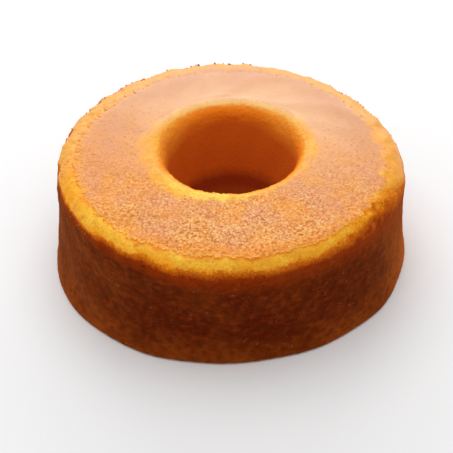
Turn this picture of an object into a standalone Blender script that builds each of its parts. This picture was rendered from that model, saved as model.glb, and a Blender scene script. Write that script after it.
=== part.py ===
"""A ring cake of cornmeal, turned out of its tin and standing on its baked side.

The cake is one closed body. Rings of points run up the outer wall, over the
squarish shoulder, across the flat skin that lay on the tin's floor, over the
round lip, down the tapered hole and back under the flat base. Each stretch of
that profile has its own function, which gives the points of its rings from a
radius and a height for every ring and every direction.
"""

import math

import bpy
import numpy as np

# Driving sizes, in metres. Directions are in degrees round +Z, from +X.
BASE_RADIUS = 0.1070
HEIGHT = 0.0720
COLUMNS = 180
SHARP_ANGLE = 50.0

# Outer wall: it draws in from the base to the rim, and has a soft bead at its foot.
RIM_RADIUS = 0.1015
RIM_HEIGHT = 0.0560
FLARE_POWER = 1.8
FOOT_BEAD = 0.0005
FOOT_BEAD_HEIGHT = 0.0050
FOOT_BEAD_SPREAD = 0.0040
BASE_BEVEL = 0.0012
WALL_HEIGHTS = (0.0012, 0.0045, 0.0090, 0.0160, 0.0250, 0.0340, 0.0430, 0.0500, RIM_HEIGHT)

# Out of round, as (waves round the ring, depth, direction of one crest).
BASE_LOBES = ((3, 0.0020, -23.5),)
RIM_LOBES = ((2, 0.0009, -58.0), (3, 0.0016, -10.0), (4, 0.0007, -15.0))
RIM_CENTRE = (0.0, -0.0012)

# Skin of the top: it ends in a ragged little step, further out towards the front.
SKIN_RADIUS = 0.0872
SKIN_SHIFT = (0.0008, -0.0064)
SKIN_STEP = 0.0011
SKIN_STEP_WIDTH = 0.0005
SHOULDER_RINGS = 5
SHOULDER_SQUARENESS = 0.94
TOP_RINGS = 4

# Hole: a round lip, a wall that narrows downwards, a crease and a collar below it.
HOLE_CENTRE = (0.0023, 0.0002)
LIP_RADIUS = 0.0490
LIP_DROP = 0.0080
LIP_RINGS = 4
HOLE_TOP_RADIUS = 0.0390
HOLE_LOW_RADIUS = 0.0334
HOLE_HEIGHTS = (0.0530, 0.0410, 0.0300)
CREASE_HEIGHT = 0.0270
CREASE_RADIUS = 0.0325
COLLAR_RADIUS = 0.0246
COLLAR_HEIGHTS = (0.0210, 0.0115, 0.0012)

# Unevenness of each stretch: how deep it is, and the lengths of its waves.
WALL_UNEVEN = 0.00035
WALL_WAVES = (0.021, 0.033, 0.047, 0.075)
SHOULDER_UNEVEN = 0.00045
SHOULDER_WAVES = (0.009, 0.013, 0.019, 0.028)
SHOULDER_LENGTH = 0.020
SKIN_EDGE_RAGGED = 0.0009
SKIN_EDGE_WAVES = (0.009, 0.012, 0.017, 0.026, 0.041)
TOP_UNEVEN = 0.00020
TOP_WAVES = (0.015, 0.024, 0.037, 0.060)
LIP_UNEVEN = 0.00022
LIP_WAVES = (0.012, 0.020, 0.031)
LIP_LENGTH = 0.016
HOLE_UNEVEN = 0.00018
HOLE_WAVES = (0.030, 0.050, 0.080)
COLLAR_UNEVEN = 0.00035
COLLAR_WAVES = (0.022, 0.034, 0.055)

# Crumbs that stand on the shoulder, most of them on its craggy side, at the back.
# Their places are shares of the way up the shoulder.
CRAG_COUNT = 46
CRAG_HEIGHT = 0.0014
CRAG_SMALLEST = 0.35
CRAG_WIDTH = 0.0028
CRAG_PLACES = (0.15, 0.75)
CRAG_CLIMB = 0.18
CRAGGY_SIDE = (45.0, 175.0)
CRAGGY_SHARE = 0.7


def lobes(theta, waves):
    """Sum of cosine waves round the ring, each with its own count, depth and crest."""
    total = np.zeros_like(theta)
    for count, depth, crest in waves:
        total += depth * np.cos(count * (theta - math.radians(crest)))
    return total


def ripples(theta, across, lengths, seed):
    """Seeded sum of waves over the surface, about 1 high; lengths are in metres.

    Each wave has a whole number of crests round the ring, so it closes on itself,
    and a slant of its own over the profile, whose length is given by across.
    """
    draw = np.random.default_rng(seed)
    total = np.zeros(np.broadcast(theta, across).shape)
    for length in lengths:
        slant = draw.uniform(0.0, math.pi)
        crests = max(1, round(2.0 * math.pi * RIM_RADIUS / length * math.cos(slant / 2.0)))
        climb = 2.0 * math.pi / length * math.sin(slant)
        total += np.cos(crests * theta + climb * across + draw.uniform(0.0, 2.0 * math.pi))
    return total / math.sqrt(len(lengths))


def crags(theta, along):
    """Seeded crumbs on the shoulder: round bumps at drawn directions and places."""
    draw = np.random.default_rng(11)
    total = np.zeros(np.broadcast(theta, along).shape)
    for _ in range(CRAG_COUNT):
        side = CRAGGY_SIDE if draw.random() < CRAGGY_SHARE else (-180.0, 180.0)
        direction = math.radians(draw.uniform(*side))
        climb = draw.uniform(*CRAG_PLACES)
        height = CRAG_HEIGHT * draw.uniform(CRAG_SMALLEST, 1.0)
        turn = np.angle(np.exp(1j * (theta - direction)))
        off = (turn * RIM_RADIUS / CRAG_WIDTH) ** 2 + ((along - climb) / CRAG_CLIMB) ** 2
        total += height * np.exp(-off)
    return total


def skin_edge(theta):
    """Radius of the skin's ragged edge: a shifted circle with seeded waves on it."""
    shifted = SKIN_RADIUS + SKIN_SHIFT[0] * np.cos(theta) + SKIN_SHIFT[1] * np.sin(theta)
    return shifted + SKIN_EDGE_RAGGED * ripples(theta, 0.0, SKIN_EDGE_WAVES, seed=3)


def place(theta, radius, height, centre):
    """Points at a radius and a height round a centre, which may differ for each ring."""
    centre = np.asarray(centre)
    x = centre[..., 0] + radius * np.cos(theta)
    y = centre[..., 1] + radius * np.sin(theta)
    return np.stack((x, y, np.broadcast_to(height, x.shape)), axis=-1)


def outer_wall(theta):
    """Wall from the base to the rim: a flare that is a power of the depth, and a bead."""
    height = np.array((0.0,) + WALL_HEIGHTS)[:, None]
    rise = height / RIM_HEIGHT
    flare = (BASE_RADIUS - RIM_RADIUS) * (1.0 - rise) ** FLARE_POWER
    bead = FOOT_BEAD * np.exp(-((height - FOOT_BEAD_HEIGHT) / FOOT_BEAD_SPREAD) ** 2)
    bevel = BASE_BEVEL * (height == 0.0)
    uneven = WALL_UNEVEN * ripples(theta, height, WALL_WAVES, seed=5)
    outline = lobes(theta, BASE_LOBES) * (1.0 - rise) + lobes(theta, RIM_LOBES) * rise
    radius = RIM_RADIUS + flare + bead - bevel + outline + uneven
    return place(theta, radius, height, rise[..., None] * np.array(RIM_CENTRE))


def shoulder(theta):
    """Squarish quarter arc from the rim in and up to the foot of the skin's edge."""
    turn = np.linspace(0.0, math.pi / 2.0, SHOULDER_RINGS + 1)[1:, None]
    inward = 1.0 - np.cos(turn).clip(0.0) ** SHOULDER_SQUARENESS
    upward = np.sin(turn) ** SHOULDER_SQUARENESS
    along = turn / (math.pi / 2.0)
    rim = RIM_RADIUS + lobes(theta, RIM_LOBES)
    relief = SHOULDER_UNEVEN * ripples(theta, along * SHOULDER_LENGTH, SHOULDER_WAVES, seed=7)
    relief = (relief + crags(theta, along)) * np.sin(math.pi * along)
    radius = rim - (rim - skin_edge(theta)) * inward + relief * np.cos(turn)
    height = RIM_HEIGHT + (HEIGHT - SKIN_STEP - RIM_HEIGHT) * upward + relief * np.sin(turn)
    return place(theta, radius, height, RIM_CENTRE)


def top(theta):
    """Flat skin from its ragged edge in to the lip, with a slight unevenness."""
    share = np.linspace(0.0, 1.0, TOP_RINGS + 2)[:, None]
    outer = skin_edge(theta) - SKIN_STEP_WIDTH
    radius = outer + (LIP_RADIUS - outer) * share
    uneven = TOP_UNEVEN * ripples(theta, radius, TOP_WAVES, seed=9)
    share = share[..., None]
    centre = np.array(RIM_CENTRE) * (1.0 - share) + np.array(HOLE_CENTRE) * share
    return place(theta, radius, HEIGHT + uneven, centre)


def lip(theta):
    """Quarter ellipse from the flat skin down into the hole."""
    turn = np.linspace(0.0, math.pi / 2.0, LIP_RINGS + 1)[1:, None]
    along = turn / (math.pi / 2.0)
    uneven = LIP_UNEVEN * ripples(theta, along * LIP_LENGTH, LIP_WAVES, seed=13)
    inward = (LIP_RADIUS - HOLE_TOP_RADIUS) * np.sin(turn)
    radius = LIP_RADIUS - inward - uneven * np.sin(turn)
    height = HEIGHT - LIP_DROP * (1.0 - np.cos(turn)) + uneven * np.cos(turn)
    return place(theta, radius, height, HOLE_CENTRE)


def hole_wall(theta):
    """Wall that narrows evenly downwards, with the crease as its last ring."""
    height = np.array(HOLE_HEIGHTS + (CREASE_HEIGHT,))[:, None]
    depth = (HEIGHT - LIP_DROP - height) / (HEIGHT - LIP_DROP - HOLE_HEIGHTS[-1])
    radius = HOLE_TOP_RADIUS + (HOLE_LOW_RADIUS - HOLE_TOP_RADIUS) * depth
    radius[-1] = CREASE_RADIUS
    uneven = HOLE_UNEVEN * ripples(theta, height, HOLE_WAVES, seed=15)
    return place(theta, radius + uneven, height, HOLE_CENTRE)


def collar(theta):
    """Collar under the crease: it bulges in, then drops steeply to the base."""
    height = np.array(COLLAR_HEIGHTS + (0.0,))[:, None]
    depth = 1.0 - height / CREASE_HEIGHT
    inward = (CREASE_RADIUS - COLLAR_RADIUS) * np.sin(depth * math.pi / 2.0)
    uneven = COLLAR_UNEVEN * ripples(theta, height, COLLAR_WAVES, seed=17)
    radius = CREASE_RADIUS - inward + uneven * depth + BASE_BEVEL * (height == 0.0)
    return place(theta, radius, height, HOLE_CENTRE)


def ring_points():
    """All rings as one array of points, with their box centred over the origin."""
    theta = np.linspace(0.0, 2.0 * math.pi, COLUMNS, endpoint=False)[None, :]
    stretches = (outer_wall, shoulder, top, lip, hole_wall, collar)
    points = np.concatenate([stretch(theta) for stretch in stretches])
    plan = points[..., :2].reshape(-1, 2)
    points[..., :2] -= (plan.min(axis=0) + plan.max(axis=0)) / 2.0
    return points


def ring_faces(rings, columns):
    """Quads between each ring and the next, the last ring joining the first one."""
    ring, column = np.meshgrid(np.arange(rings), np.arange(columns), indexing="ij")
    next_ring = (ring + 1) % rings
    next_column = (column + 1) % columns
    corners = (ring * columns + column, ring * columns + next_column,
               next_ring * columns + next_column, next_ring * columns + column)
    return np.stack(corners, axis=-1).reshape(-1, 4)


def crust_material():
    """Baked cornmeal crust: golden brown and dull."""
    material = bpy.data.materials.new("crust")
    material.use_nodes = True
    shader = material.node_tree.nodes["Principled BSDF"]
    shader.inputs["Base Color"].default_value = (0.55, 0.22, 0.05, 1.0)
    shader.inputs["Roughness"].default_value = 0.7
    shader.inputs["Metallic"].default_value = 0.0
    return material


def build_cake():
    """The cake's one object, shaded smooth between its sharper edges."""
    points = ring_points()
    mesh = bpy.data.meshes.new("cake")
    faces = ring_faces(points.shape[0], points.shape[1])
    mesh.from_pydata(points.reshape(-1, 3).tolist(), [], faces.tolist())
    mesh.shade_smooth()
    mesh.set_sharp_from_angle(angle=math.radians(SHARP_ANGLE))
    mesh.materials.append(crust_material())
    cake = bpy.data.objects.new("cake", mesh)
    bpy.context.scene.collection.objects.link(cake)
    return cake


for old in list(bpy.data.objects):
    bpy.data.objects.remove(old, do_unlink=True)
build_cake()
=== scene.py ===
"""The looks of a ring cake of cornmeal, turned out of its tin and standing upside down."""

import math

import bmesh
import bpy
import numpy as np
from mathutils import Matrix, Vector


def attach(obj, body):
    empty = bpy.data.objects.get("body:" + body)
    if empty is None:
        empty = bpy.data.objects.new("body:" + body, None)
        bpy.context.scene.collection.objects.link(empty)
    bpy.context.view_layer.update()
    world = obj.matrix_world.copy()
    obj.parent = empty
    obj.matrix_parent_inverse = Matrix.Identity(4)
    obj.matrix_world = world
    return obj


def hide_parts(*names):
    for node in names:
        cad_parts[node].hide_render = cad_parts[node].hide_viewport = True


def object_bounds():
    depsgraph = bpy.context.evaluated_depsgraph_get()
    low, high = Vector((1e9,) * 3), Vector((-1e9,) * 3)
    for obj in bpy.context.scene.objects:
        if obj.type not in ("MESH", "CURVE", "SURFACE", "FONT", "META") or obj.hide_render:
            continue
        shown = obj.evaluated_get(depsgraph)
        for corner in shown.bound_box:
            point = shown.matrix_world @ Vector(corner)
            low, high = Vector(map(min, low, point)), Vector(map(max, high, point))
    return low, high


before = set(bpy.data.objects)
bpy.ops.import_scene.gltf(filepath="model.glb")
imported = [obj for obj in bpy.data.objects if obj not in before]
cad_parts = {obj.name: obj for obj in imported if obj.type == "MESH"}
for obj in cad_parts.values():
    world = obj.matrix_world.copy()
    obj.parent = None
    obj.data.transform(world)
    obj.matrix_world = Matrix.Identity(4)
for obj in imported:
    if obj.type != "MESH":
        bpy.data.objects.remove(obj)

cad_low, cad_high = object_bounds()


# ---- The crumb ---------------------------------------------------------------
# The sponge itself: cornmeal batter that set golden yellow in a ring tin. It is
# bare in the hole and on the round lip above it. Everywhere else a crust lies on
# it, so there it is kept a little inside the cake's outer form.

HEIGHT = 0.0720
FOOT_RADIUS = 0.1070
FOOT_CENTRE = (-0.00094, -0.00193)
FOOT_WAVES = ((3, 0.0020, -23.5),)
FOOT_BEVEL = 0.0012
FOOT_BEAD = 0.0005
FOOT_BEAD_HEIGHT = 0.0050
FOOT_BEAD_SPREAD = 0.0040
FLARE_POWER = 1.8
RIM_RADIUS = 0.1015
RIM_HEIGHT = 0.0560
RIM_CENTRE = (-0.00094, -0.00313)
RIM_WAVES = ((2, 0.0009, -58.0), (3, 0.0016, -10.0), (4, 0.0007, -15.0))
SHOULDER_LENGTH = 0.0200
SHOULDER_SQUARENESS = 0.94
CRAG_SEED = 11
CRAG_COUNT = 46
CRAG_HEIGHT = 0.0007
CRAG_WIDTH = 0.0028
CRAG_LENGTH = 0.18
CRAG_CLIMBS = (0.15, 0.75)
CRAG_BACK_ARC = (45.0, 175.0)
CRAG_BACK_SHARE = 0.7
SKIN_RADIUS = 0.0872
SKIN_SHIFT = (0.0008, -0.0064)
SKIN_STEP = 0.0005
SKIN_GAP_AT_EDGE = 0.0005
LIP_RADIUS = 0.0490
LIP_DROP = 0.0080
LIP_LENGTH = 0.016
LIP_TURN = math.radians(81.3)
LIP_CRUMBS = 0.00060
LIP_SINK = 0.0001
LIP_TORN_SIDE = (-115.0, 36.0)
LIP_TORN_ELSEWHERE = 0.28
HOLE_CENTRE = (0.00136, -0.00173)
HOLE_TOP_RADIUS = 0.0390
HOLE_LOW_RADIUS = 0.0334
HOLE_LOW_HEIGHT = 0.0300
CREASE_HEIGHT = 0.0270
CREASE_RADIUS = 0.0325
COLLAR_RADIUS = 0.0246
CRUST_COVER = 0.0010
CRUMB_COLUMNS = 640
LIP_RINGS = 26
HOLE_RINGS = 34
COLLAR_RINGS = 18

# Slow unevenness of each surface: how deep, how long its waves are, and its seed.
WALL_RIPPLES = (0.00035, (0.021, 0.033, 0.047, 0.075), 5)
SHOULDER_RIPPLES = (0.00045, (0.009, 0.013, 0.019, 0.028), 7)
SKIN_EDGE_RIPPLES = (0.0009, (0.009, 0.012, 0.017, 0.026, 0.041), 3)
SKIN_RIPPLES = (0.0002, (0.015, 0.024, 0.037, 0.060), 9)
LIP_RIPPLES = (0.00014, (0.012, 0.020, 0.031), 13)
HOLE_RIPPLES = (0.00018, (0.030, 0.050, 0.080), 15)
COLLAR_RIPPLES = (0.00012, (0.022, 0.034, 0.055), 17)

# Lumps in layers: how deep each layer is, how large its lumps are, and its seed.
LIP_LUMPS = ((0.4, 0.0024, 52), (0.6, 0.0012, 53))
HOLE_LUMPS = (0.04, 0.0025, 51)

# How the lumps are drawn: space is turned, starts far off, and has so many numbers along it.
GRAIN_TURN = Matrix.Rotation(0.7, 3, "X") @ Matrix.Rotation(0.5, 3, "Y")
GRAIN_START = 1000.0
GRAIN_NUMBERS = 48
GRAIN_GAIN = 1.6


def lobes(theta, waves):
    """Sum of cosine waves round the ring, each with its own count, depth and crest."""
    total = np.zeros_like(theta)
    for count, depth, crest in waves:
        total += depth * np.cos(count * (theta - math.radians(crest)))
    return total


def ripples(theta, across, depth, lengths, seed):
    """Seeded sum of cosine waves of the given lengths, each whole times round the ring."""
    draw = np.random.default_rng(seed)
    total = np.zeros(np.broadcast(theta, across).shape)
    for length in lengths:
        slant = draw.uniform(0.0, math.pi)
        crests = max(1, round(2.0 * math.pi * RIM_RADIUS / length * math.cos(slant / 2.0)))
        climb = 2.0 * math.pi / length * math.sin(slant)
        total += np.cos(crests * theta + climb * across + draw.uniform(0.0, 2.0 * math.pi))
    return depth * total / math.sqrt(len(lengths))


def grain(points, *layers):
    """Seeded smooth noise: a sum of layers, each with its depth, its lump size and its seed.

    Space is turned and cut into cubes, each corner draws a number from -1 to 1, and a point
    blends its cube's eight numbers with a smooth step along each direction.
    """
    total = np.zeros(points.shape[:-1])
    for depth, size, seed in layers:
        table = np.random.default_rng(seed).uniform(-1.0, 1.0, (GRAIN_NUMBERS,) * 3)
        turned = points @ np.array(GRAIN_TURN) / size + GRAIN_START
        cell = np.floor(turned).astype(int)
        part = turned - cell
        part = part * part * (3.0 - 2.0 * part)
        for corner in np.ndindex(2, 2, 2):
            weight = np.prod(np.where(corner, part, 1.0 - part), axis=-1)
            index = (cell + corner) % GRAIN_NUMBERS
            total += GRAIN_GAIN * depth * weight * table[index[..., 0], index[..., 1], index[..., 2]]
    return total


def facing(theta, direction, width):
    """1 towards a direction in degrees, falling off as a bell curve of that width."""
    turn = np.degrees(np.angle(np.exp(1j * (theta - math.radians(direction)))))
    return np.exp(-((turn / width) ** 2))


def bells(theta, *parts):
    """Sum of bell curves round the ring, each with its direction, its width and its height."""
    return sum(height * facing(theta, direction, width) for direction, width, height in parts)


def crags(theta, along):
    """Seeded lumps on the shoulder, most at the back: each is a bell curve of the distance from it."""
    draw = np.random.default_rng(CRAG_SEED)
    total = np.zeros(np.broadcast(theta, along).shape)
    for _ in range(CRAG_COUNT):
        side = CRAG_BACK_ARC if draw.random() < CRAG_BACK_SHARE else (-180.0, 180.0)
        direction = math.radians(draw.uniform(*side))
        climb = draw.uniform(*CRAG_CLIMBS)
        height = CRAG_HEIGHT * draw.uniform(0.35, 1.0)
        turn = np.angle(np.exp(1j * (theta - direction)))
        apart = (turn * RIM_RADIUS / CRAG_WIDTH) ** 2 + ((along - climb) / CRAG_LENGTH) ** 2
        total += height * np.exp(-apart)
    return total


def place(theta, radius, height, centre):
    """Points at a radius and a height round a centre, which may differ for each ring."""
    centre = np.asarray(centre)
    x = centre[..., 0] + radius * np.cos(theta)
    y = centre[..., 1] + radius * np.sin(theta)
    return np.stack((x, y, np.broadcast_to(height, x.shape)), axis=-1)


def between_centres(first, second, share):
    """A centre for each ring, going from the first to the second as the share goes to 1."""
    return np.array(first) * (1.0 - share[..., None]) + np.array(second) * share[..., None]


def skin_edge(theta):
    """Radius at which the browned skin ends: a shifted circle with seeded waves on it."""
    shifted = SKIN_RADIUS + SKIN_SHIFT[0] * np.cos(theta) + SKIN_SHIFT[1] * np.sin(theta)
    return shifted + ripples(theta, 0.0, *SKIN_EDGE_RIPPLES)


def foot_bevel(height):
    """How far the foot's edge draws back: at 45 degrees over the lowest part."""
    return FOOT_BEVEL * (1.0 - height / FOOT_BEVEL).clip(0.0)


def wall(theta, height, lift):
    """Side of the cake: a flare that is a power of the depth, a bead at the foot, slow waves."""
    rise = height / RIM_HEIGHT
    flare = (FOOT_RADIUS - RIM_RADIUS) * (1.0 - rise) ** FLARE_POWER
    bead = FOOT_BEAD * np.exp(-((height - FOOT_BEAD_HEIGHT) / FOOT_BEAD_SPREAD) ** 2)
    outline = lobes(theta, FOOT_WAVES) * (1.0 - rise) + lobes(theta, RIM_WAVES) * rise
    radius = RIM_RADIUS + flare + bead - foot_bevel(height) + outline
    radius = radius + ripples(theta, height, *WALL_RIPPLES) + lift
    return place(theta, radius, height, between_centres(FOOT_CENTRE, RIM_CENTRE, rise))


def shoulder(theta, along, lift):
    """Squarish quarter arc from the rim in and up to the foot of the skin's edge."""
    turn = along * math.pi / 2.0
    inward = 1.0 - np.cos(turn).clip(0.0) ** SHOULDER_SQUARENESS
    upward = np.sin(turn) ** SHOULDER_SQUARENESS
    rim = RIM_RADIUS + lobes(theta, RIM_WAVES)
    relief = ripples(theta, along * SHOULDER_LENGTH, *SHOULDER_RIPPLES) + crags(theta, along)
    relief = relief * np.sin(math.pi * along) + lift
    radius = rim - (rim - skin_edge(theta)) * inward + relief * np.cos(turn)
    height = RIM_HEIGHT + (HEIGHT - SKIN_STEP - RIM_HEIGHT) * upward + relief * np.sin(turn)
    return place(theta, radius, height, RIM_CENTRE)


def skin(theta, share, lift):
    """Flat top from the skin's edge in to the lip, with a slight unevenness."""
    outer = skin_edge(theta) - SKIN_GAP_AT_EDGE
    radius = outer + (LIP_RADIUS - outer) * share
    uneven = ripples(theta, radius, *SKIN_RIPPLES) * ((1.0 - share) / 0.1).clip(0.0, 1.0)
    return place(theta, radius, HEIGHT + uneven + lift, between_centres(RIM_CENTRE, HOLE_CENTRE, share))


def lip(theta, along, lift):
    """Arc of an ellipse from the flat top down into the hole, where it leans as the wall does."""
    turn = along * LIP_TURN
    relief = ripples(theta, along * LIP_LENGTH, *LIP_RIPPLES) * (along / 0.3).clip(0.0, 1.0) + lift
    inward = (LIP_RADIUS - HOLE_TOP_RADIUS) * np.sin(turn) / math.sin(LIP_TURN)
    downward = LIP_DROP * (1.0 - np.cos(turn)) / (1.0 - math.cos(LIP_TURN))
    radius = LIP_RADIUS - inward - relief * np.sin(turn)
    return place(theta, radius, HEIGHT - downward + relief * np.cos(turn), HOLE_CENTRE)


def hole(theta, height):
    """Wall of the hole: it narrows evenly downwards, then more as it nears the crease."""
    radius = np.interp(height, (CREASE_HEIGHT, HOLE_LOW_HEIGHT, HEIGHT - LIP_DROP),
                       (CREASE_RADIUS, HOLE_LOW_RADIUS, HOLE_TOP_RADIUS))
    return place(theta, radius + ripples(theta, height, *HOLE_RIPPLES), height, HOLE_CENTRE)


def collar(theta, height):
    """Collar under the crease: it bulges in by a sine of the depth, then drops to the base."""
    depth = 1.0 - height / CREASE_HEIGHT
    inward = (CREASE_RADIUS - COLLAR_RADIUS) * np.sin(depth * math.pi / 2.0)
    uneven = ripples(theta, height, *COLLAR_RIPPLES) * depth
    return place(theta, CREASE_RADIUS - inward + uneven + foot_bevel(height), height, HOLE_CENTRE)


def directions(columns):
    """One row of angles round the ring."""
    return np.linspace(0.0, 2.0 * math.pi, columns, endpoint=False)[None, :]


def column_of(*values):
    """A column of numbers, one for each ring."""
    return np.concatenate([np.atleast_1d(value) for value in values])[:, None]


def closed_ring(name, points, **marks):
    """A body whose rings close on themselves and whose last ring joins its first.

    The marks are numbers for each point, kept as attributes that a finish can read.
    """
    rings, columns = points.shape[:2]
    ring, column = np.meshgrid(np.arange(rings), np.arange(columns), indexing="ij")
    next_ring = (ring + 1) % rings
    next_column = (column + 1) % columns
    corners = (ring * columns + column, ring * columns + next_column,
               next_ring * columns + next_column, next_ring * columns + column)
    faces = np.stack(corners, axis=-1).reshape(-1, 4)
    mesh = bpy.data.meshes.new(name)
    mesh.vertices.add(rings * columns)
    mesh.vertices.foreach_set("co", points.reshape(-1).astype(np.float32))
    mesh.loops.add(faces.size)
    mesh.loops.foreach_set("vertex_index", faces.reshape(-1).astype(np.int32))
    mesh.polygons.add(len(faces))
    mesh.polygons.foreach_set("loop_start", np.arange(0, faces.size, 4, dtype=np.int32))
    mesh.update(calc_edges=True)
    mesh.validate()
    mesh.shade_smooth()
    for mark, values in marks.items():
        attribute = mesh.attributes.new(mark, "FLOAT", "POINT")
        values = np.broadcast_to(values, (rings, columns)).reshape(-1)
        attribute.data.foreach_set("value", values.astype(np.float32))
    piece = bpy.data.objects.new(name, mesh)
    bpy.context.scene.collection.objects.link(piece)
    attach(piece, "root")
    return piece


class Wire:
    """A shader socket that can stand in a sum: every operator adds a Math node."""

    def __init__(self, tree, socket):
        self.tree = tree
        self.socket = socket

    def math(self, operation, *values, clamp=False):
        """Any Math node on sockets and numbers."""
        node = self.tree.nodes.new("ShaderNodeMath")
        node.operation = operation
        node.use_clamp = clamp
        for socket, value in zip(node.inputs, values):
            if isinstance(value, Wire):
                self.tree.links.new(value.socket, socket)
            else:
                socket.default_value = value
        return Wire(self.tree, node.outputs[0])

    def __add__(self, other):
        return self.math("ADD", self, other)

    def __radd__(self, other):
        return self.math("ADD", other, self)

    def __sub__(self, other):
        return self.math("SUBTRACT", self, other)

    def __rsub__(self, other):
        return self.math("SUBTRACT", other, self)

    def __mul__(self, other):
        return self.math("MULTIPLY", self, other)

    def __rmul__(self, other):
        return self.math("MULTIPLY", other, self)

    def __abs__(self):
        return self.math("ABSOLUTE", self)

    def at_most(self, limit):
        """The value itself, up to a limit."""
        return self.math("MINIMUM", self, limit)

    def between(self, low, high):
        """0 below low, 1 above high, and a straight ramp between them."""
        slope = 1.0 / (high - low)
        return self.math("MULTIPLY_ADD", self, slope, -low * slope, clamp=True)


class Finish:
    """A material that is put together from nodes, read on the cake's own coordinates."""

    def __init__(self, name, roughness, gloss):
        self.material = bpy.data.materials.new(name)
        self.material.use_nodes = True
        self.tree = self.material.node_tree
        self.shader = self.tree.nodes["Principled BSDF"]
        self.shader.inputs["Roughness"].default_value = roughness
        self.shader.inputs["Specular IOR Level"].default_value = gloss
        self.place = self.node("ShaderNodeTexCoord", {}, "Object")

    def node(self, kind, settings, output, **sockets):
        """Any node: its type, its settings, the output to use, and its sockets' values.

        A socket is given by its name, or as i and its number where names repeat.
        """
        node = self.tree.nodes.new(kind)
        for key, value in settings.items():
            setattr(node, key, value)
        for key, value in sockets.items():
            is_number = key[0] == "i" and key[1:].isdigit()
            socket = node.inputs[int(key[1:])] if is_number else node.inputs[key]
            if isinstance(value, Wire):
                self.tree.links.new(value.socket, socket)
            else:
                socket.default_value = value
        return Wire(self.tree, node.outputs[output])

    def mark(self, name):
        """A number that the piece carries at each of its points."""
        return self.node("ShaderNodeAttribute", {"attribute_name": name}, "Fac")

    def along(self, axis):
        """The cake's own coordinate along X, Y or Z, in metres."""
        return self.node("ShaderNodeSeparateXYZ", {}, axis, Vector=self.place)

    def stretched(self, *scale):
        """The cake's coordinates, stretched along its axes."""
        return self.node("ShaderNodeMapping", {}, "Vector", Vector=self.place, Scale=scale)

    def lumps(self, size, detail=2.0, where=None):
        """Noise about 0.5 with lumps of the given size in metres."""
        return self.node("ShaderNodeTexNoise", {}, "Fac", Vector=where or self.place,
                         Scale=1.0 / size, Detail=detail)

    def cells(self, size):
        """Distance from the nearest of scattered points, a cell's size apart."""
        return self.node("ShaderNodeTexVoronoi", {}, "Distance", Vector=self.place,
                         Scale=1.0 / size)

    def blend(self, factor, first, second):
        """One colour turning into another as the factor, kept from 0 to 1, grows."""
        settings = {"data_type": "RGBA"}
        return self.node("ShaderNodeMix", settings, 2, i0=factor, i6=first, i7=second)

    def colour(self, wire):
        """Gives the surface its colour."""
        self.tree.links.new(wire.socket, self.shader.inputs["Base Color"])

    def coat(self, wire, roughness):
        """A greasy sheen over the colour, where the wire is above 0."""
        self.tree.links.new(wire.socket, self.shader.inputs["Coat Weight"])
        self.shader.inputs["Coat Roughness"].default_value = roughness

    def relief(self, wire, depth):
        """Bumps of the given depth in metres."""
        bump = self.node("ShaderNodeBump", {}, "Normal", Height=wire, Distance=depth, Strength=1.0)
        self.tree.links.new(bump.socket, self.shader.inputs["Normal"])


def dye(red, green, blue):
    """A colour given as 8-bit screen numbers, made linear."""
    shares = np.array((red, green, blue)) / 255.0
    linear = np.where(shares > 0.04045, ((shares + 0.055) / 1.055) ** 2.4, shares / 12.92)
    return (*linear.tolist(), 1.0)


GOLDEN = dye(253, 161, 18)
PALE_GOLD = dye(255, 212, 70)
AMBER = dye(226, 128, 14)
# Peach of the painted light on the lip's back and near the hole.
LIP_PAINTED_LIGHT = dye(255, 203, 118)
HOLE_ORANGE = dye(250, 131, 14)
HOLE_PAINTED_LIGHT_GOLD = dye(246, 158, 48)
HOLE_BROWN = dye(214, 102, 22)
HOLE_CREASE_BROWN_AND_SHADE = dye(148, 52, 8)
HOLE_FOOT = dye(166, 72, 16)
GREASE = 0.35
GREASE_AT_BACK = 0.40
GREASE_ROUGHNESS = 0.42
CLOUD_SIZE = 0.0090
PATCH_SIZE = 0.0062
FINE_SIZE = 0.0014
PORE_SIZE = 0.0012
CRUMB_PORE_DEPTH = 0.0004

# Where the sponge is made palest: a radius from the hole's centre, a spread, and directions.
PALE_LIP = (0.0490, 0.0045, ((-104.0, 30.0, 1.6),))
PALE_SHOULDER = (0.0960, 0.0050, ((-130.0, 16.0, 0.5), (-92.0, 40.0, 0.5)))

# Spans in metres over which painted light pales the cake and turns the sponge peachy.
BACK_SPAN = (-0.048, 0.044)
BACK_SLANT = 0.25
LIP_BACK_SPAN = (0.004, 0.038)
LIP_HEIGHT_SPAN = (0.0699, 0.0714)

# Centimetres under the top between which one colour of the hole turns into the next, and
# the sides on which it stays golden further down.
CENTIMETRES = 100.0
COLOURS_LOWER = 0.10
COLOURS_LOWER_DOWN_TO = 2.5
COLOURS_HIGH_SIDE = (90.0, 70.0)
SHEEN_ENDS = (0.38, 0.08)
# The hole's colours darken downwards: partly its crust's own brown, partly painted shade.
ORANGE_COMES = (0.09, 0.28)
BROWN_COMES = (0.27, 1.25)
CREASE_COMES = (4.05, 4.8)
FOOT_COMES = (5.15, 5.6)
# Directions, widths and strengths of painted light on the hole's wall.
HOLE_PAINTED_LIGHTS = ((34.0, 30.0, 1.0), (162.0, 34.0, 1.2))


def pale_patches(points):
    """How pale the sponge is made: bell curves over the radius, times bell curves round the ring."""
    off_x = points[..., 0] - HOLE_CENTRE[0]
    off_y = points[..., 1] - HOLE_CENTRE[1]
    theta = np.arctan2(off_y, off_x)
    total = np.zeros(points.shape[:-1])
    for radius, spread, parts in (PALE_LIP, PALE_SHOULDER):
        total += bells(theta, *parts) * np.exp(-((np.hypot(off_x, off_y) - radius) / spread) ** 2)
    return total


def towards_back(finish):
    """0 in front and 1 at the back, where the light falls along the cake and pales it."""
    return (finish.along("Y") + finish.along("X") * BACK_SLANT).between(*BACK_SPAN)


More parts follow.
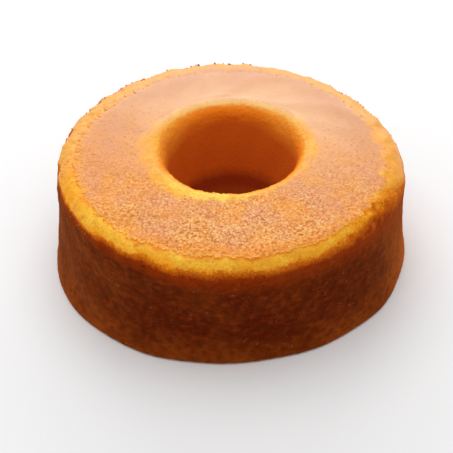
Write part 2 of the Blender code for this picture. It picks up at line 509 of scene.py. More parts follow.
def painted_light_on_lip(finish):
    """How much painted light pales the sponge on the lip: only at the back, and only where it is nearly
    flat.
    """
    return finish.along("Y").between(*LIP_BACK_SPAN) * finish.along("Z").between(*LIP_HEIGHT_SPAN)


def greasy(finish):
    """How much the bare sponge shines."""
    return towards_back(finish) * GREASE_AT_BACK + GREASE


def golden_crumb(finish, peachy, peach):
    """The bare sponge: golden, with paler and deeper clouds, fine crumbs and a peachy part, which on the
    cake is painted light.
    """
    cloud = finish.lumps(CLOUD_SIZE, 4.0)
    fine = finish.lumps(FINE_SIZE, 3.0)
    paler = cloud.between(0.42, 0.70) * 0.5 + fine.between(0.50, 0.68) * 0.18 + finish.mark("pale") * 0.7
    gold = finish.blend(paler, GOLDEN, PALE_GOLD)
    patch = finish.lumps(PATCH_SIZE, 3.0).between(0.54, 0.70)
    deeper = finish.blend(fine.between(0.50, 0.32) * 0.4 + patch * 0.52, gold, AMBER)
    return finish.blend(peachy, deeper, peach)


crumb_rings = directions(CRUMB_COLUMNS)
lip_alongs = column_of(np.linspace(0.0, 1.0, LIP_RINGS)[1:])
hole_heights = column_of(np.linspace(HEIGHT - LIP_DROP, CREASE_HEIGHT, HOLE_RINGS)[1:])
collar_heights = column_of(np.linspace(CREASE_HEIGHT, FOOT_BEVEL, COLLAR_RINGS)[1:], 0.0)

# The lip is torn to coarse crumbs, most of all in front on the left.
lip_grain = grain(lip(crumb_rings, lip_alongs, 0.0), *LIP_LUMPS)
lip_torn = LIP_TORN_ELSEWHERE + (1.0 - LIP_TORN_ELSEWHERE) * facing(crumb_rings, *LIP_TORN_SIDE)
lip_lift = LIP_CRUMBS * (lip_grain - 0.7) * lip_torn * ((lip_alongs - 0.2) / 0.3).clip(0.0, 1.0)
lip_lift -= LIP_SINK * (1.0 - lip_alongs / 0.6).clip(0.0)

crumb_points = np.concatenate((
    wall(crumb_rings, column_of(np.linspace(0.0, RIM_HEIGHT, 12)), -CRUST_COVER),
    shoulder(crumb_rings, column_of(np.linspace(0.0, 1.0, 8)[1:]), -CRUST_COVER),
    skin(crumb_rings, column_of(np.linspace(0.02, 0.9, 10)), -CRUST_COVER),
    skin(crumb_rings, column_of(0.96, 1.0), -CRUST_COVER * column_of(0.5, 0.3)),
    lip(crumb_rings, lip_alongs, lip_lift),
    hole(crumb_rings, hole_heights),
    collar(crumb_rings, collar_heights),
))
crumb_points[..., 2] = crumb_points[..., 2].clip(0.0)

# How far down each point lies. Near the top the colours start lower, but not at the back.
down_hole = CENTIMETRES * (HEIGHT - crumb_points[..., 2]) + grain(crumb_points, HOLE_LUMPS)
lower_colours = COLOURS_LOWER * (1.0 - facing(crumb_rings, *COLOURS_HIGH_SIDE))
down_hole -= lower_colours * (down_hole < COLOURS_LOWER_DOWN_TO)
# Painted light on two sides of the hole, where its wall stays golden and browns later.
glow = bells(crumb_rings, *HOLE_PAINTED_LIGHTS)

crumb_finish = Finish("golden crumb", 0.75, 0.1)
down_mark = crumb_finish.mark("down")
glow_mark = crumb_finish.mark("glow")
crumb_finish.coat(down_mark.between(*SHEEN_ENDS) * greasy(crumb_finish), GREASE_ROUGHNESS)
lip_gold = golden_crumb(crumb_finish, painted_light_on_lip(crumb_finish), LIP_PAINTED_LIGHT)
hole_orange = crumb_finish.blend(glow_mark.at_most(1.0) * 0.7, HOLE_ORANGE, HOLE_PAINTED_LIGHT_GOLD)
# From the lip down the sponge turns orange, brown and darkest at the crease: partly the crust's own
# colour and partly painted shade down the hole.
orange_lip = crumb_finish.blend(down_mark.between(*ORANGE_COMES), lip_gold, hole_orange)
browning_and_shade = (down_mark - glow_mark * 0.50).between(*BROWN_COMES)
brown_wall = crumb_finish.blend(browning_and_shade, orange_lip, HOLE_BROWN)
crease_darkened = crumb_finish.blend(down_mark.between(*CREASE_COMES), brown_wall, HOLE_CREASE_BROWN_AND_SHADE)
crumb_finish.colour(crumb_finish.blend(down_mark.between(*FOOT_COMES), crease_darkened, HOLE_FOOT))
crumb_finish.relief(crumb_finish.lumps(PORE_SIZE, 3.0), CRUMB_PORE_DEPTH)

crumb = closed_ring("crumb", crumb_points, down=down_hole, glow=glow, pale=pale_patches(crumb_points))
crumb.data.materials.append(crumb_finish.material)
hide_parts("cake")


# ---- The side crust ----------------------------------------------------------
# Where the batter lay against the tin's side it baked to a deep red-brown crust.
# It thins out over the shoulder, where it did not touch the tin and stayed golden,
# and the change between the two is ragged.

CRUST_THICKNESS = 0.0018
CRUST_INSET = 0.00022
CRUST_COLUMNS = 820
WALL_RINGS = 66
SHOULDER_RINGS = 38
SIDE_LUMP_DEPTH = 0.00012
TORN_DEPTH = 0.0005
TORN_SIDE = (150.0, 42.0)
SIDE_LUMPS = ((0.6, 0.0030, 21), (0.5, 0.0016, 22))
TORN_LUMPS = ((0.00026, 0.0017, 23), (0.00034, 0.0034, 24))

# The brown's upper end: its height, its rises and dips round the ring, and its ragged edge.
CRUST_TOP = 0.0658
CRUST_TOP_RISES = ((-90.0, 45.0, 0.0021), (-32.0, 15.0, 0.0050), (-128.0, 13.0, 0.0005),
                   (-72.0, 18.0, -0.0018), (-8.0, 15.0, -0.0034), (-102.0, 10.0, -0.0010),
                   (174.0, 16.0, -0.0026), (-119.5, 4.5, 0.0017), (-85.0, 7.0, -0.0006))
CRUST_TOP_LUMPS = ((0.0005, 0.0060, 31), (0.0003, 0.0020, 32))
RIGHT_TOP_LUMPS = (0.0022, 0.0034, 33)
RIGHT_TOP_SIDE = (-36.0, 14.0)
BAKE_DEPTH = 0.0100
BAKE_SHARPER = ((-150.0, 30.0, 1.6), (-26.0, 22.0, -0.45))
BAKE_GRAIN_SIZE = 0.0012

# How warm the brown is: at random everywhere, and as painted light on the right limb and towards the
# foot.
WARM_LUMPS = ((0.10, 0.0160, 34), (0.08, 0.0032, 35))
PAINTED_LIGHT_RIGHT = (-2.0, 24.0, 0.92)
PAINTED_LIGHT_FOOT_LEFT = (-142.0, 24.0, 0.22)
PAINTED_LIGHT_FOOT_HEIGHT = 0.024

# How far the browned skin reaches out over the shoulder in front, and the sides with an
# orange painted shadow under its edge and with skin that runs out over the shoulder.
SKIN_REACHES = ((-66.0, 34.0, 0.0030), (-22.0, 20.0, 0.0030))
EDGE_SHADOW_SIDE = (-88.0, 52.0)
SKINNED_SIDE = (90.0, 70.0)
SKINNED_LOWER_SIDE = (90.0, 50.0)

# Spans in metres over which painted light makes the left shoulder peachy.
LEFT_SPAN = (-0.076, -0.092)
LEFT_FRONT_SPAN = (-0.034, -0.020)
LEFT_LIGHT_SHARE = 0.50

# Gold of the painted light at the back and on the left shoulder.
GOLD_PAINTED_LIGHT = dye(244, 174, 84)
DEEP_BROWN_AND_SHADE = dye(84, 21, 3)
WARM_AND_LIT_BROWN = dye(170, 81, 22)
MOTTLE_BROWN = dye(152, 54, 10)
RED_BROWN = dye(152, 52, 6)
ORANGE_BROWN = dye(226, 120, 22)
EDGE_SHADOW_ORANGE = dye(238, 114, 8)
DARK_BROWN = dye(64, 16, 2)
STROKE_GLINT = dye(176, 92, 40)
FLECK = dye(40, 12, 4)
SKIN_CREAM = dye(234, 174, 122)
SKIN_ROSE = dye(216, 149, 99)
FUZZ = (1.0, 0.34, 0.11, 1.0)
FUZZ_WEIGHT = 0.27
FUZZ_ROUGHNESS = 0.5
FAR_CLOUD_SIZE = 0.024
BROKEN_SIZE = 0.0055
MOTTLE_SIZE = 0.0040
SCRATCH_SIZE = 0.0036
STROKE_SIZE = 0.0052
FLECK_SPACING = 0.0060
CRUST_PORE_DEPTH = 0.0003


def painted_light_on_left(finish):
    """How much painted light pales the sponge on the left shoulder: a ramp to the left times one to the
    back.
    """
    left = finish.along("X").between(*LEFT_SPAN)
    return left * finish.along("Y").between(*LEFT_FRONT_SPAN) * LEFT_LIGHT_SHARE


def painted_sheen_skin(finish):
    """The browned skin at the back, paled by painted sheen: rose, with cream clouds, creamier near the
    hole.
    """
    cloud = finish.lumps(FAR_CLOUD_SIZE, 2.0) * 0.8 + finish.mark("inner")
    return finish.blend(cloud.between(0.50, 1.0), SKIN_ROSE, SKIN_CREAM)


side_rings = directions(CRUST_COLUMNS)
wall_heights = column_of(0.0, FOOT_BEVEL / 3.0, np.linspace(FOOT_BEVEL, RIM_HEIGHT, WALL_RINGS))
arc = column_of(np.linspace(0.0, 1.0, SHOULDER_RINGS)[1:])

smooth_side = np.concatenate((wall(side_rings, wall_heights, 0.0), shoulder(side_rings, arc, 0.0)))
torn = facing(side_rings, *TORN_SIDE) * (smooth_side[..., 2] > RIM_HEIGHT)
side_lift = SIDE_LUMP_DEPTH * grain(smooth_side, *SIDE_LUMPS) - CRUST_INSET
side_lift += torn * (grain(smooth_side, *TORN_LUMPS) - TORN_DEPTH)
side_outside = np.concatenate((
    wall(side_rings, wall_heights, side_lift[:len(wall_heights)]),
    shoulder(side_rings, arc, side_lift[len(wall_heights):]),
))
side_inside = np.concatenate((
    skin(side_rings, column_of(0.06, 0.10), column_of(-SKIN_STEP, -SKIN_STEP - CRUST_THICKNESS)),
    shoulder(side_rings, column_of(0.75, 0.4), -CRUST_THICKNESS),
    wall(side_rings, column_of(np.linspace(RIM_HEIGHT, 0.0, 5)), -CRUST_THICKNESS),
))
side_points = np.concatenate((side_outside, side_inside))
side_points[..., 2] = side_points[..., 2].clip(0.0)
side_heights = side_points[..., 2]


def over_shoulder(values):
    """A mark that is 0 on the crust's wall, as given over its shoulder, and 1 on its inside."""
    on_wall = np.zeros((len(wall_heights), side_rings.size))
    on_inside = np.ones((len(side_inside), side_rings.size))
    return np.concatenate((on_wall, values.clip(0.0, 1.0), on_inside))


# How far baked each point is: 0 at the brown's upper end, then more with the depth below it.
crust_top = CRUST_TOP + bells(side_rings, *CRUST_TOP_RISES)
ragged = grain(side_points, *CRUST_TOP_LUMPS)
ragged += grain(side_points, RIGHT_TOP_LUMPS) * facing(side_rings, *RIGHT_TOP_SIDE)
sharpness = (1.0 + bells(side_rings, *BAKE_SHARPER)) / BAKE_DEPTH
bake = ((crust_top - side_heights + ragged) * sharpness).clip(-1.0, 7.0)
# Painted light towards the foot and on the right limb, over random warmth.
foot_glow = (1.0 - side_heights / PAINTED_LIGHT_FOOT_HEIGHT).clip(0.0, 1.0)
warm = 0.04 + grain(side_points, *WARM_LUMPS) + bells(side_rings, PAINTED_LIGHT_RIGHT)
warm += foot_glow * (0.32 + bells(side_rings, PAINTED_LIGHT_FOOT_LEFT))

# The orange painted shadow under the skin's edge in front, and the skin's run-out at the back.
groove_from = 0.83 - bells(side_rings, *SKIN_REACHES) / SHOULDER_LENGTH
groove = over_shoulder((arc - groove_from) / 0.13) * facing(side_rings, *EDGE_SHADOW_SIDE)
skinned_from = 1.05 - 0.32 * facing(side_rings, *SKINNED_LOWER_SIDE)
skinned = over_shoulder((arc - skinned_from) / 0.22) * facing(side_rings, *SKINNED_SIDE)

side_finish = Finish("side crust", 0.7, 0.0)
side_finish.shader.inputs["Sheen Weight"].default_value = FUZZ_WEIGHT
side_finish.shader.inputs["Sheen Roughness"].default_value = FUZZ_ROUGHNESS
side_finish.shader.inputs["Sheen Tint"].default_value = FUZZ
bake_mark = side_finish.mark("bake") + (side_finish.lumps(BAKE_GRAIN_SIZE, 2.0) - 0.5) * 0.5
baked = bake_mark.between(0.1, 0.5)
side_finish.coat(bake_mark.between(0.1, -0.2) * greasy(side_finish), GREASE_ROUGHNESS)

# Golden sponge on the shoulder, then orange, red and deep brown the further it is baked, the deep brown
# darkened further as painted shade.
# Peachier at the back and on the left shoulder: painted light.
painted_light_on_side = towards_back(side_finish) * 0.85 + painted_light_on_left(side_finish)
golden_side = golden_crumb(side_finish, painted_light_on_side.at_most(0.9), GOLD_PAINTED_LIGHT)
broken = side_finish.lumps(BROKEN_SIZE, 2.0).between(0.39, 0.53)
# Orange painted shadow in broken patches under the skin's edge.
grooved = side_finish.blend(side_finish.mark("groove") * broken * 0.85, golden_side, EDGE_SHADOW_ORANGE)
skinned_over = side_finish.blend(side_finish.mark("skinned"), grooved, painted_sheen_skin(side_finish))
orange_crust = side_finish.blend(bake_mark.between(-0.10, 0.16), skinned_over, ORANGE_BROWN)
red_crust = side_finish.blend(bake_mark.between(0.06, 0.55), orange_crust, RED_BROWN)
deep_shaded_crust = side_finish.blend(bake_mark.between(0.35, 1.70), red_crust, DEEP_BROWN_AND_SHADE)

# Warm, light and dark mottling of the brown, wider than it is high.
mottles = side_finish.lumps(MOTTLE_SIZE, 4.0, side_finish.stretched(1.0, 1.0, 1.4))
# The warm brown carries random warmth and the painted light on the right and at the foot.
warmth = side_finish.mark("warm") * bake_mark.between(0.4, 2.0)
warm_mottles = warmth * (mottles.between(0.30, 0.62) * 0.35 + 0.75)
warmed = side_finish.blend(warm_mottles, deep_shaded_crust, WARM_AND_LIT_BROWN)
lightened = side_finish.blend(mottles.between(0.50, 0.70) * baked * 0.32, warmed, MOTTLE_BROWN)
darkened = side_finish.blend(mottles.between(0.50, 0.30) * baked * 0.30, lightened, DARK_BROWN)

# Short painted glints along the lines where the noise crosses its middle, and dark flecks.
scratches = abs(side_finish.lumps(SCRATCH_SIZE, 1.0) - 0.5).between(0.016, 0.002)
glint_strokes = scratches * side_finish.lumps(STROKE_SIZE, 1.0).between(0.54, 0.66)
glinted = side_finish.blend(glint_strokes * baked * 0.45, darkened, STROKE_GLINT)
flecks = side_finish.cells(FLECK_SPACING).between(0.14, 0.08)
side_finish.colour(side_finish.blend(flecks * baked * 0.45, glinted, FLECK))
side_finish.relief(side_finish.lumps(PORE_SIZE, 3.0), CRUST_PORE_DEPTH)

side_crust = closed_ring("side_crust", side_points, bake=bake, warm=warm, groove=groove,
                         skinned=skinned, pale=pale_patches(side_points))
side_crust.data.materials.append(side_finish.material)


# ---- The top skin ------------------------------------------------------------
# Where the batter lay on the tin's floor it baked to a thin pinkish brown skin,
# full of fine pores. It ends in a ragged little step above the golden shoulder,
# and fades to gold towards the lip of the hole.

SKIN_THICKNESS = 0.0022
SKIN_WIDTH = 0.0377
SKIN_COLUMNS = 900
HANGING_RINGS = 7
FLAT_RINGS = 86
FRONT_SIDE = (-88.0, 46.0)
BACK_SIDE = (90.0, 50.0)
LEFT_SIDE = (178.0, 45.0)
UNDER_EDGE_SIDE = (-95.0, 62.0)
ROOM_UNDER_CAD = 0.00002
EDGE_DROP = 0.0006
EDGE_REACH = 0.0011
EDGE_ROUNDING = 0.0030
FRINGE_WIDTH = 0.0008
RIM_WIDTH = 0.0011
BRIM_WIDTH = 0.0060
EDGE_FRINGE = (0.00080, (0.0014, 0.0019, 0.0027, 0.0039, 0.0061), 43)
EDGE_CURL = (0.00030, (0.0031, 0.0047, 0.0073), 46)
MOUND_LUMPS = ((0.6, 0.0024, 41), (0.5, 0.0013, 42))
MOUND_HEIGHT = 0.00013
RIM_MOUND_HEIGHT = 0.00026
INNER_RADIUS = 0.082
INNER_SPAN = 0.030

# How coarse the pores are over the cake, and where the right side is calmer.
CRISP_AT_CENTRE = 0.24
CRISP_SPAN = 0.100
CALMER_FROM = -0.055
CALMER_SPAN = 0.030

# The bare gold round the lip and at the rim: how far it reaches, and how softly it ends.
GOLD_RADIUS = 0.0452
GOLD_WIDENINGS = ((5.0, 32.0, 0.0035), (-120.0, 50.0, 0.0073), (175.0, 38.0, 0.0030))
GOLD_LUMPS = ((0.0010, 0.0020, 44), (0.0018, 0.0055, 45))
LIP_FADE = 0.0046
LIP_FADE_LEFT = 0.0040
RIM_GOLD = -0.0008
RIM_GOLD_FRONT = -0.0024
RIM_GOLD_BACK = -0.0040
RIM_GOLD_LEFT = -0.0046
RIM_FADE = 0.0042
RIM_FADE_FRONT = -0.0018
RIM_FADE_LEFT = 0.0056

SKIN_TAN = dye(238, 152, 60)
SKIN_PINK = dye(226, 146, 94)
SKIN_LIGHT = dye(252, 200, 134)
SKIN_GAP = dye(200, 112, 42)
SKIN_SPECK = dye(240, 96, 34)
SKIN_PIT = dye(190, 116, 52)
SKIN_ORANGE = dye(242, 144, 44)
RIM_HIGHLIGHT = dye(255, 180, 80)
BRIM_GAP = dye(204, 104, 26)
UNDER_EDGE_SHADE_ORANGE = dye(250, 146, 26)
CRISP_CLOUD_SIZE = 0.020
MINGLE_SIZE = 0.0017
TAN_CLOUD_SIZE = 0.016
BRIM_CLOUD_SIZE = 0.0042
SKIN_GRAIN_SIZE = 0.00125
CURL_SIZE = 0.0018
SPECK_SPACING = 0.021
PIT_SIZE = 0.0024
SKIN_PORE_DEPTH = 0.0004


def over_the_top(theta, inward, lift):
    """The shoulder's upper end and the flat top, by the distance in from where they meet."""
    along = 1.0 + inward.clip(None, 0.0) / SHOULDER_LENGTH
    on_shoulder = shoulder(theta, along, lift + SKIN_STEP)
    on_top = skin(theta, inward.clip(0.0) / SKIN_WIDTH, lift)
    return np.where((inward < 0.0)[..., None], on_shoulder, on_top)


def crispness(points):
    """How coarse the pores are: it falls evenly from the front to the back, sooner on the right."""
    behind = ((points[..., 1] - CALMER_FROM) / CALMER_SPAN).clip(0.0, 1.0)
    calmer_side = 0.25 * points[..., 0].clip(0.0) * behind
    return (CRISP_AT_CENTRE - (points[..., 1] + calmer_side) / CRISP_SPAN).clip(0.08, 1.0)


skin_rings = directions(SKIN_COLUMNS)
front = facing(skin_rings, *FRONT_SIDE)
back = facing(skin_rings, *BACK_SIDE)
left_side = facing(skin_rings, *LEFT_SIDE)
reach = bells(skin_rings, *SKIN_REACHES)

# Rows come in from the edge: first those that hang over it, then those of the flat top.
edge_outs = column_of(np.linspace(1.0, 0.0, HANGING_RINGS + 1)[:-1])
flat_shares = column_of(np.linspace(0.0, 1.0, FLAT_RINGS))
row_inward = np.concatenate((0.0 * reach - EDGE_REACH * edge_outs, (SKIN_WIDTH + reach) * flat_shares))
flat_rim = np.exp(-row_inward[HANGING_RINGS:] / RIM_WIDTH)
rim = np.concatenate((0.0 * reach + 1.0 - edge_outs ** 2, flat_rim))
fringe_out = ripples(skin_rings, 0.0, *EDGE_FRINGE) * np.exp(-row_inward.clip(0.0) / FRINGE_WIDTH)
inward = row_inward - reach - fringe_out

flat_top = over_the_top(skin_rings, inward, 0.0)
mound = grain(flat_top, *MOUND_LUMPS)
calm = 1.0 - 0.8 * ((inward / SKIN_WIDTH - 0.80) / 0.2).clip(0.0, 1.0)
skin_lift = MOUND_HEIGHT * (mound * crispness(flat_top) - 0.9) * calm
skin_lift += RIM_MOUND_HEIGHT * mound * rim
skin_lift += ripples(skin_rings, 0.0, *EDGE_CURL) * front * rim
skin_lift -= 0.85 * SKIN_STEP * (1.0 - 0.60 * front) * np.exp(-row_inward.clip(0.0) / EDGE_ROUNDING)
skin_lift[:HANGING_RINGS] -= EDGE_DROP * edge_outs ** 2
skin_outside = over_the_top(skin_rings, inward, skin_lift)

# The inner end clings to the lip, and the skin's under side closes the body.
lip_edge = column_of(0.05, 0.10, 0.15, 0.20, 0.25, 0.29, 0.33)
cling = column_of(0.00008, 0.00006, 0.00004, 0.00002, -0.00002, -0.00016, -0.0004)
skin_inside = skin(skin_rings, column_of(1.0, 0.5, 0.004), -SKIN_THICKNESS)
skin_points = np.concatenate((skin_outside, lip(skin_rings, lip_edge, cling), skin_inside))
skin_points[..., 2] = skin_points[..., 2].clip(0.0, cad_high[2] - ROOM_UNDER_CAD)

# Marks for the finish: the rim with its painted highlight, the orange brim, and the face under the edge
# in front with its painted shade.
elsewhere = np.zeros((len(skin_points) - len(skin_outside), skin_rings.size))
from_edge = np.concatenate((row_inward, elsewhere + SKIN_WIDTH))
from_hole = np.hypot(skin_points[..., 0] - HOLE_CENTRE[0], skin_points[..., 1] - HOLE_CENTRE[1])
edge = np.concatenate((rim, elsewhere)) * front
brim = (1.5 - from_edge / BRIM_WIDTH).clip(0.0, 1.0) * front
under_edge = np.concatenate((1.0 - rim[:HANGING_RINGS], 0.0 * rim[HANGING_RINGS:], elsewhere))
foot = under_edge * facing(skin_rings, *UNDER_EDGE_SIDE)
inner = ((INNER_RADIUS - from_hole) / INNER_SPAN).clip(0.0, 1.0) * 0.6

# How toasted each point is: 0 in the gold round the lip and at the edge, 1 between them.
gold_ragged = grain(skin_points, *GOLD_LUMPS) * (1.0 - 0.8 * back)
gold_radius = GOLD_RADIUS + bells(skin_rings, *GOLD_WIDENINGS)
lip_fade = LIP_FADE + LIP_FADE_LEFT * left_side
lip_toast = (from_hole - gold_radius + gold_ragged) / lip_fade + 0.25
rim_gold = RIM_GOLD + RIM_GOLD_FRONT * front + RIM_GOLD_BACK * back + RIM_GOLD_LEFT * left_side
rim_fade = RIM_FADE + RIM_FADE_FRONT * front + RIM_FADE_LEFT * left_side
rim_toast = (from_edge - rim_gold + gold_ragged) / rim_fade
toast = lip_toast.clip(0.0, 1.0) * rim_toast.clip(0.0, 1.0)
toast[:HANGING_RINGS] *= (front + back).clip(0.0, 1.0)

skin_finish = Finish("browned skin", 0.6, 0.12)
far = towards_back(skin_finish)
edge_mark = skin_finish.mark("edge")
brim_mark = skin_finish.mark("brim")
crisp_cloud = skin_finish.lumps(CRISP_CLOUD_SIZE, 2.0).between(0.35, 0.60)
crisp_mark = skin_finish.mark("crisp") * (crisp_cloud * 0.5 + 0.65)
raw_toast = skin_finish.mark("toast")
half_toasted = raw_toast - raw_toast * raw_toast
mingling = (skin_finish.lumps(MINGLE_SIZE, 2.0) - 0.5) * (crisp_mark + 0.5) * half_toasted
toast_mark = (raw_toast + mingling * 12.0).between(0.0, 1.0)
bare_grease = greasy(skin_finish)
skin_finish.coat((far * 0.65 + 0.10 - bare_grease) * toast_mark + bare_grease, GREASE_ROUGHNESS)

# Clouds of tan, pink and cream, oranger at the brim, turning to rose and cream at the back as painted
# sheen.
tan_cloud = skin_finish.lumps(TAN_CLOUD_SIZE, 3.0)
brim_cloud = skin_finish.lumps(BRIM_CLOUD_SIZE, 3.0).between(0.42, 0.56)
near_tan = skin_finish.blend(tan_cloud.between(0.38, 0.62), SKIN_TAN, SKIN_PINK)
tan = skin_finish.blend(far, near_tan, painted_sheen_skin(skin_finish))
brim_tan = skin_finish.blend(brim_mark * (brim_cloud * 0.45 + 0.45), tan, SKIN_ORANGE)

# Light grains and curls with dark gaps between them, a few orange specks, and soft pits. The light and
# dark of the grains, gaps and pits is partly the skin's own and partly painted light and shade of its
# relief.
grains = skin_finish.lumps(SKIN_GRAIN_SIZE, 2.0)
curls = abs(skin_finish.lumps(CURL_SIZE, 1.0) - 0.5)
light_colour = skin_finish.blend(brim_mark, SKIN_LIGHT, RIM_HIGHLIGHT)
gap_colour = skin_finish.blend(brim_mark, SKIN_GAP, BRIM_GAP)
light = grains.between(0.50, 0.66) * 0.9 + curls.between(0.030, 0.004) * 0.40
lit = skin_finish.blend(light * crisp_mark, brim_tan, light_colour)
gapped = skin_finish.blend(grains.between(0.47, 0.34) * crisp_mark, lit, gap_colour)
specks = skin_finish.cells(SPECK_SPACING).between(0.075, 0.055)
speckled = skin_finish.blend(specks * crisp_mark * 0.6, gapped, SKIN_SPECK)
brimmed = skin_finish.blend(brim_mark * brim_cloud * 0.40, speckled, SKIN_ORANGE)
pits = skin_finish.lumps(PIT_SIZE, 3.0).between(0.42, 0.30) * (far - far * far) * 3.4
pitted = skin_finish.blend(pits.at_most(0.55), brimmed, SKIN_PIT)
# Painted highlight along the rim of the skin's edge in front; near the brim the light grains take its
# colour too.
painted_rim_highlight = edge_mark.between(0.15, 0.55) * grains.between(0.32, 0.46)
rim_highlighted = skin_finish.blend(painted_rim_highlight, pitted, RIM_HIGHLIGHT)

# Bare sponge where the skin is not toasted, and orange painted shade under its hanging edge.
peach = skin_finish.blend(skin_finish.mark("inner").between(0.05, 0.30), GOLD_PAINTED_LIGHT, LIP_PAINTED_LIGHT)
bare_skin = golden_crumb(skin_finish, painted_light_on_lip(skin_finish) + painted_light_on_left(skin_finish), peach)
skinned_top = skin_finish.blend(toast_mark, bare_skin, rim_highlighted)
shaded_under_edge = skin_finish.mark("foot").between(0.0, 0.07)
skin_finish.colour(skin_finish.blend(shaded_under_edge, skinned_top, UNDER_EDGE_SHADE_ORANGE))
skin_finish.relief((grains + curls.between(0.030, 0.0) * 0.3) * crisp_mark, SKIN_PORE_DEPTH)

top_skin = closed_ring("top_skin", skin_points, toast=toast, crisp=crispness(skin_points), inner=inner,
                       edge=edge, foot=foot, brim=brim, pale=pale_patches(skin_points))
top_skin.data.materials.append(skin_finish.material)


# ---- The loose crumbs --------------------------------------------------------
# Crumbs that tore off where the cake clung to its tin. They are of the same
# sponge, a few of them toasted, and stick to the shoulder, most along its back.

LOOSE_SEED = 61
CRUMB_COUNT = 300
CRUMB_SIZES = (0.00028, 0.00066)
FRONT_SCALE = 0.6
TOASTED_SCALE = 1.6
KNOBBLES = 0.22
TOASTED_CRUMB = dye(186, 132, 84)
PLAIN_CRUMB = dye(212, 122, 40)

# Arcs in degrees that the crumbs lie in, each with the share of them that lies in it or in
# one before it: the back left, the back, the back right and the right. The rest lie in front.
CRUMB_ARCS = ((0.60, (122.0, 172.0)), (0.63, (80.0, 104.0)), (0.70, (50.0, 122.0)), (0.82, (5.0, 50.0)))
FRONT_ARC = (-180.0, 0.0)

draw = np.random.default_rng(LOOSE_SEED)
chosen = draw.random(CRUMB_COUNT)
in_arcs = [chosen < share for share, arc_span in CRUMB_ARCS]
arc_directions = [draw.uniform(*arc_span, CRUMB_COUNT) for share, arc_span in CRUMB_ARCS]
front_directions = draw.uniform(*FRONT_ARC, CRUMB_COUNT)
crumb_thetas = np.radians(np.select(in_arcs, arc_directions, front_directions))
is_toasted = in_arcs[1] & ~in_arcs[0]
in_front = ~in_arcs[-1]
crumb_sizes = draw.uniform(*CRUMB_SIZES, CRUMB_COUNT) * np.where(in_front, FRONT_SCALE, 1.0)
crumb_sizes *= np.where(is_toasted, TOASTED_SCALE, 1.0)

# How far up the shoulder they lie: further at the back and at the right.
crumb_alongs = 0.10 + 0.36 * np.sin(crumb_thetas).clip(0.0) + draw.uniform(-0.08, 0.12, CRUMB_COUNT)
crumb_alongs += 0.16 * facing(crumb_thetas, 25.0, 25.0)
crumb_alongs = np.where(in_front, draw.uniform(0.25, 0.80, CRUMB_COUNT), crumb_alongs)
crumb_lifts = crumb_sizes * np.where(is_toasted, 0.4, 0.1) - CRUST_INSET
crumb_places = shoulder(crumb_thetas, crumb_alongs, crumb_lifts)
crumb_turns = np.linalg.qr(draw.normal(size=(CRUMB_COUNT, 3, 3)))[0]
crumb_turns *= np.sign(np.linalg.det(crumb_turns))[:, None, None]
crumb_stretches = draw.uniform(0.55, 1.2, (CRUMB_COUNT, 1, 3))

# Each crumb is a ball of 80 faces, made knobbly, stretched and turned its own way.
ball = bmesh.new()
bmesh.ops.create_icosphere(ball, subdivisions=2, radius=1.0)
ball_mesh = bpy.data.meshes.new("ball")
ball.to_mesh(ball_mesh)
ball.free()
ball_points = np.empty((len(ball_mesh.vertices), 3), np.float32)
ball_mesh.vertices.foreach_get("co", ball_points.reshape(-1))
ball_faces = np.empty((len(ball_mesh.polygons), 3), np.int32)
ball_mesh.loops.foreach_get("vertex_index", ball_faces.reshape(-1))
bpy.data.meshes.remove(ball_mesh)
knobbly = 1.0 + KNOBBLES * draw.uniform(-1.0, 1.0, (CRUMB_COUNT, len(ball_points), 1))
lumpy_balls = ball_points * knobbly * crumb_stretches * crumb_sizes[:, None, None]
loose_points = np.einsum("nij,nkj->nki", crumb_turns, lumpy_balls) + crumb_places[:, None, :]
loose_faces = ball_faces + len(ball_points) * np.arange(CRUMB_COUNT)[:, None, None]
loose_mesh = bpy.data.meshes.new("loose_crumbs")
loose_mesh.from_pydata(loose_points.reshape(-1, 3).tolist(), [], loose_faces.reshape(-1, 3).tolist())
loose_mesh.shade_smooth()
toasted = np.where(is_toasted, 1.2, 0.8 * draw.random(CRUMB_COUNT) ** 2.0)
toasted_points = np.repeat(toasted, len(ball_points)).astype(np.float32)
loose_mesh.attributes.new("toasted", "FLOAT", "POINT").data.foreach_set("value", toasted_points)

loose_finish = Finish("loose crumbs", 0.8, 0.1)
toasting = loose_finish.mark("toasted").between(0.3, 1.2)
bare_crumb = golden_crumb(loose_finish, 0.75, PLAIN_CRUMB)
loose_finish.colour(loose_finish.blend(toasting, bare_crumb, TOASTED_CRUMB))
loose_mesh.materials.append(loose_finish.material)
loose_crumbs = bpy.data.objects.new("loose_crumbs", loose_mesh)
bpy.context.scene.collection.objects.link(loose_crumbs)
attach(loose_crumbs, "root")


# ---- The studio --------------------------------------------------------------
# A pale floor under the cake, a large soft light overhead, a low one behind, and even
# light from all round. None of this is part of the cake.

FLOOR_REACH = 3.0
FLOOR_WHITE = (0.92, 0.92, 0.92, 1.0)
ROOM_WHITE = (1.0, 1.0, 1.0, 1.0)
ROOM_STRENGTH = 0.55

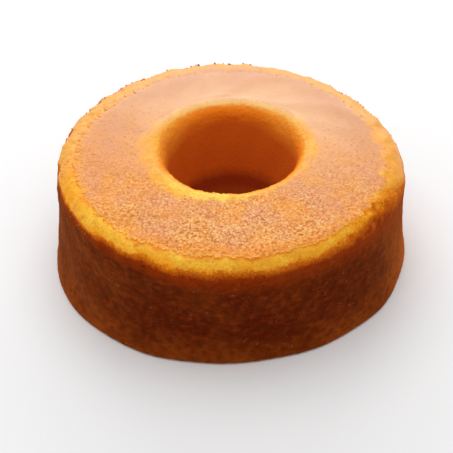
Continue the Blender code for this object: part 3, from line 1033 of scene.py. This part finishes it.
floor_mesh = bpy.data.meshes.new("floor")
floor_corners = [(x * FLOOR_REACH, y * FLOOR_REACH, 0.0) for x, y in ((-1, -1), (1, -1), (1, 1), (-1, 1))]
floor_mesh.from_pydata(floor_corners, [], [(0, 1, 2, 3)])
floor = bpy.data.objects.new("floor", floor_mesh)
bpy.context.scene.collection.objects.link(floor)
floor_finish = Finish("pale floor", 0.9, 0.0)
floor_finish.shader.inputs["Base Color"].default_value = FLOOR_WHITE
floor_mesh.materials.append(floor_finish.material)

world = bpy.data.worlds.new("studio")
world.use_nodes = True
world.node_tree.nodes["Background"].inputs["Color"].default_value = ROOM_WHITE
world.node_tree.nodes["Background"].inputs["Strength"].default_value = ROOM_STRENGTH
bpy.context.scene.world = world


def softbox(name, place_at, width, depth, energy):
    """A rectangular lamp that faces the cake."""
    lamp = bpy.data.lights.new(name, "AREA")
    lamp.shape = "RECTANGLE"
    lamp.size = width
    lamp.size_y = depth
    lamp.energy = energy
    piece = bpy.data.objects.new(name, lamp)
    piece.location = place_at
    piece.rotation_euler = piece.location.to_track_quat("Z", "Y").to_euler()
    bpy.context.scene.collection.objects.link(piece)


softbox("overhead softbox", (-0.15, 0.25, 1.70), 2.0, 2.0, 16.5)
softbox("window", (-0.05, 1.34, 0.62), 1.6, 0.42, 9.5)

# The camera stands in front, looks 41 degrees down and is rolled a little, as in
# the photograph. Its focal length is 1000 of the image's 453 pixels.
CAMERA_PLACE = (0.0, -0.4713, 0.4160)
CAMERA_DOWN = 0.7140
CAMERA_LEFT = 0.0050
CAMERA_ROLL = -0.0249
CAMERA_SENSOR = 36.0
CAMERA_FOCUS = 1000.0 / 453.0

lens = bpy.data.cameras.new("camera")
lens.sensor_width = CAMERA_SENSOR
lens.lens = CAMERA_SENSOR * CAMERA_FOCUS
camera = bpy.data.objects.new("camera", lens)
aim = Matrix.Rotation(CAMERA_LEFT, 4, "Z") @ Matrix.Rotation(math.pi / 2.0 - CAMERA_DOWN, 4, "X")
camera.matrix_world = Matrix.Translation(CAMERA_PLACE) @ aim @ Matrix.Rotation(CAMERA_ROLL, 4, "Z")
bpy.context.scene.collection.objects.link(camera)
bpy.context.scene.camera = camera
bpy.context.scene.view_settings.view_transform = "Standard"
